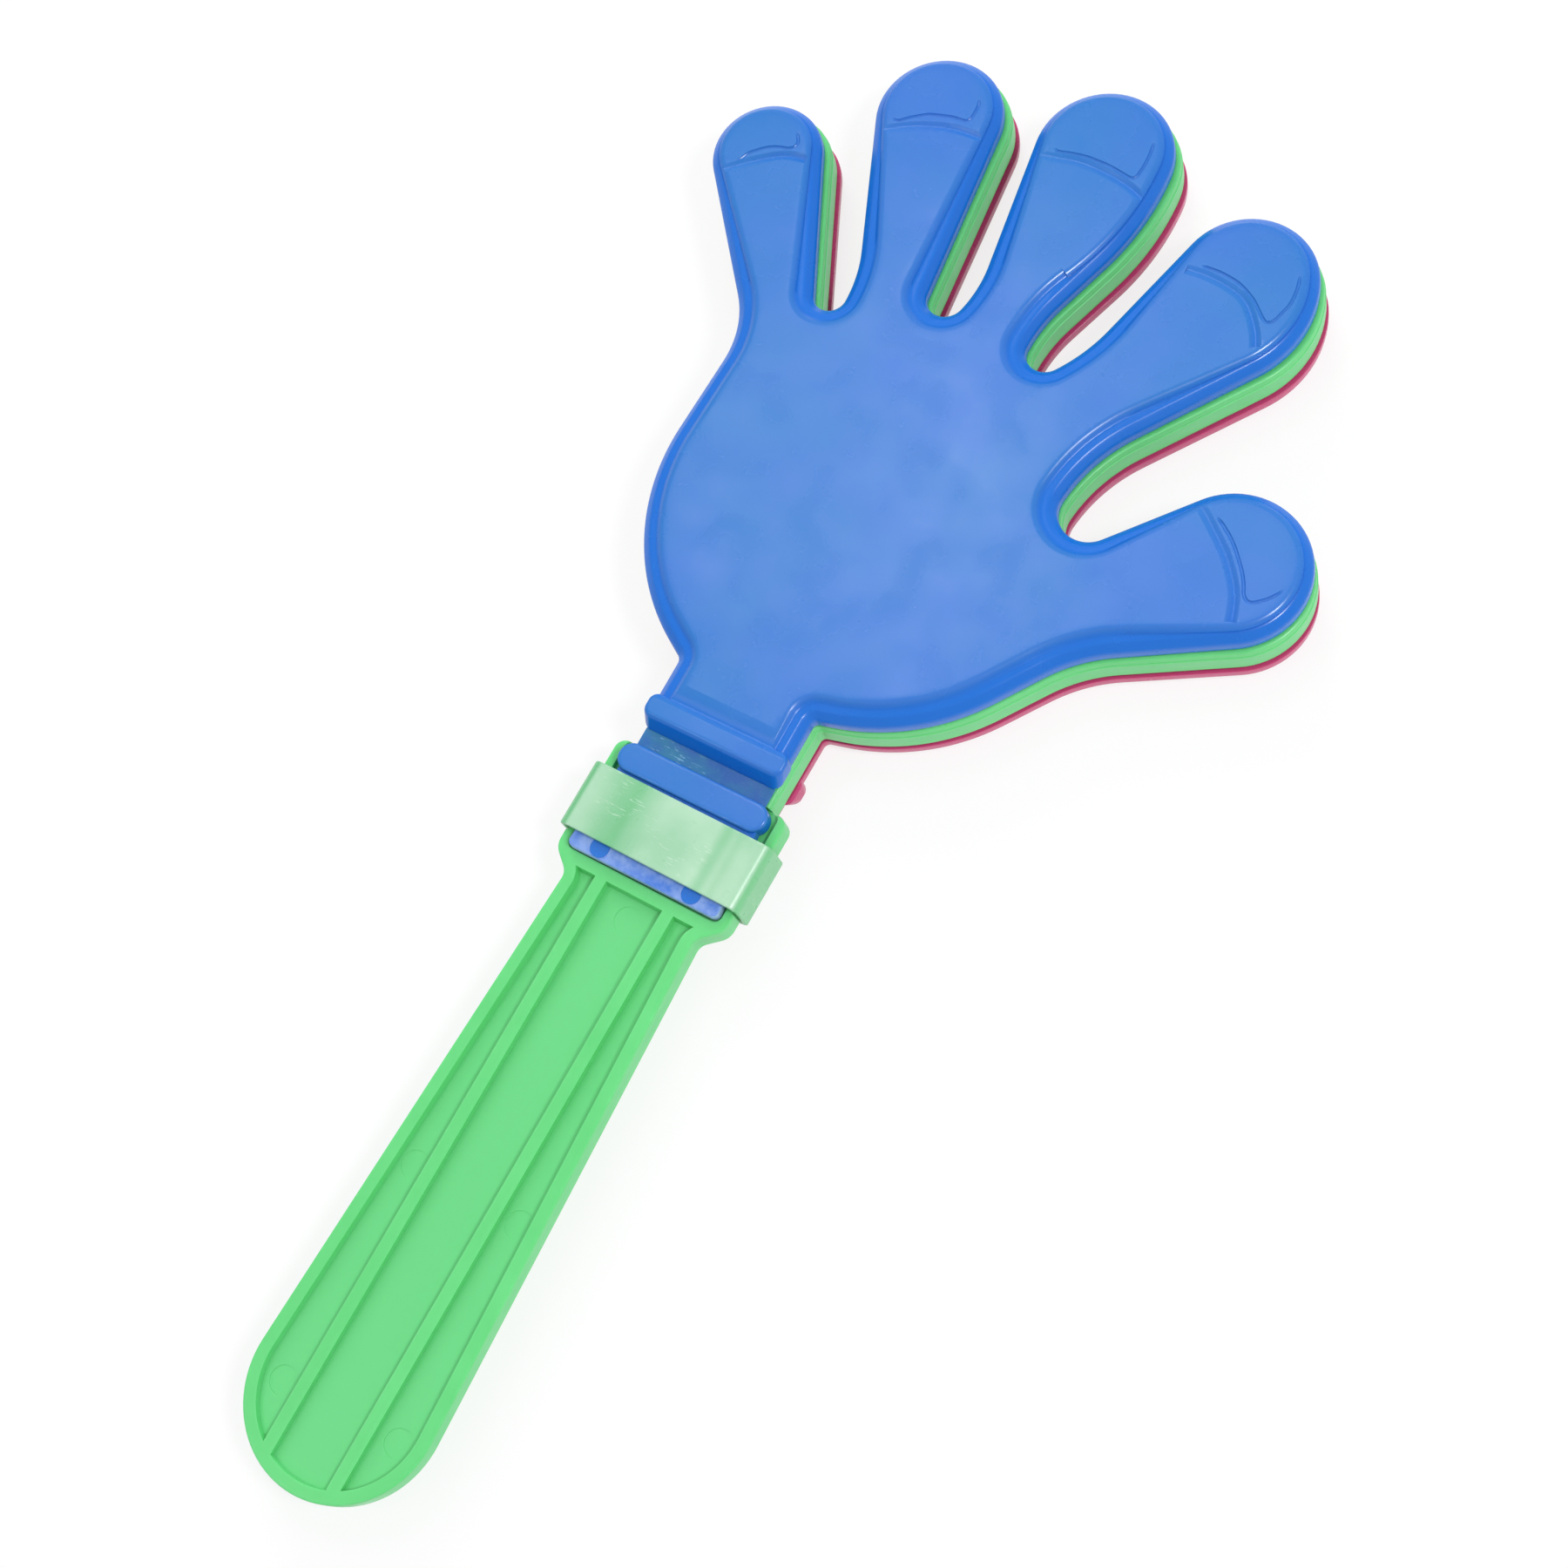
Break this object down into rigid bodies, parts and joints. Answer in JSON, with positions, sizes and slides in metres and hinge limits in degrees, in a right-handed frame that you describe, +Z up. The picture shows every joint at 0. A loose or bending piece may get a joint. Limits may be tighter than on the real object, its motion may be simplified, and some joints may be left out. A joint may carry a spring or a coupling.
{
  "type": "hand clapper",
  "caption": "Plastic noise-maker toy: a hand-shaped paddle on a flat handle with a hinged hand on each face that claps against it when shaken.",
  "frame": {"origin": "centre of the resting patch on the flat palm plateau of the back hand, on the handle's centre line", "axes": "+X towards the thumb side, +Y from the handle towards the fingertips, +Z up out of the front hand"},
  "size_m": [0.1377, 0.2782, 0.0162],
  "materials": {
    "green": "satin moulded",
    "band_green": "translucent, satin",
    "blue": "gloss moulded",
    "pink": "gloss moulded"
  },
  "bodies": {
    "handle": {"handle_and_middle_hand": "green", "retaining_band": "band_green", "front_foot": "blue", "front_hinge_web": "blue", "back_foot": "pink", "back_hinge_web": "pink"},
    "front_hand": {"front_hand": "blue"},
    "back_hand": {"back_hand": "pink"}
  },
  "joints": [
    {"name": "front_hinge", "type": "hinge", "parent": "handle", "child": "front_hand", "pos_m": [-0.00009, -0.054, 0.01175], "axis": [1, 0.0079, 0], "range_deg": [0, 70]},
    {"name": "back_hinge", "type": "hinge", "parent": "handle", "child": "back_hand", "pos_m": [0.00005, -0.054, 0.00445], "axis": [-1, 0.0044, 0], "range_deg": [0, 70]}
  ]
}
